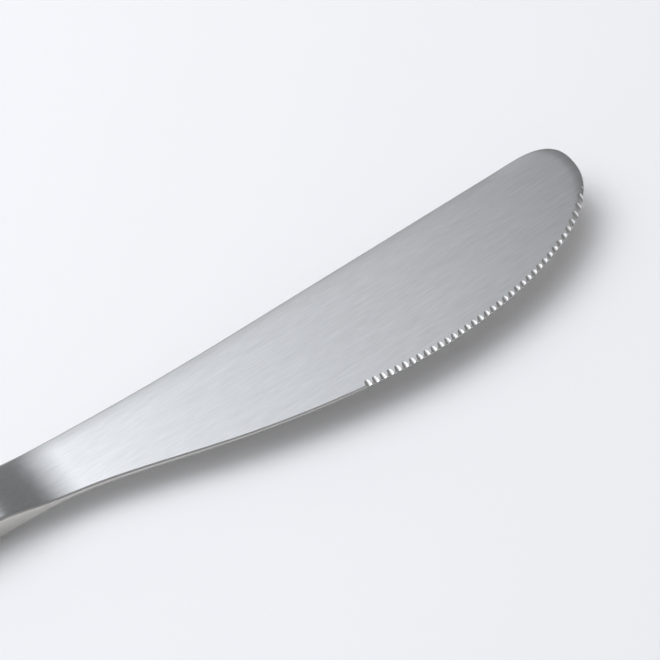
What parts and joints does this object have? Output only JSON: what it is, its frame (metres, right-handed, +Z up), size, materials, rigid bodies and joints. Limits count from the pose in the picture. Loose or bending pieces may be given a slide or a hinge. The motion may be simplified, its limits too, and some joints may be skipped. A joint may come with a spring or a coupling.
{
  "type": "dessert knife",
  "caption": "Slim satin steel dessert knife with a round-tipped, drop-shaped blade, fine serrations on the belly, and a hollow handle brazed on at the neck.",
  "frame": {"origin": "middle of the knife's box, on the surface that it lies on", "axes": "+X along the knife to the tip, +Y to the spine, +Z up from the surface that it lies on"},
  "size_m": [0.209, 0.029, 0.0084],
  "materials": {
    "blade_steel": "satin, fine hairlines along the blade",
    "handle_steel": "satin, fine hairlines along the handle",
    "silver_braze": "pale silver braze, ground flush",
    "handle_cement": "matt hard filler, hidden inside the handle"
  },
  "bodies": {
    "root": {"blade": "blade_steel", "braze_ring": "silver_braze", "handle_shell_upper": "handle_steel", "handle_shell_lower": "handle_steel", "handle_filler": "handle_cement"}
  },
  "joints": []
}
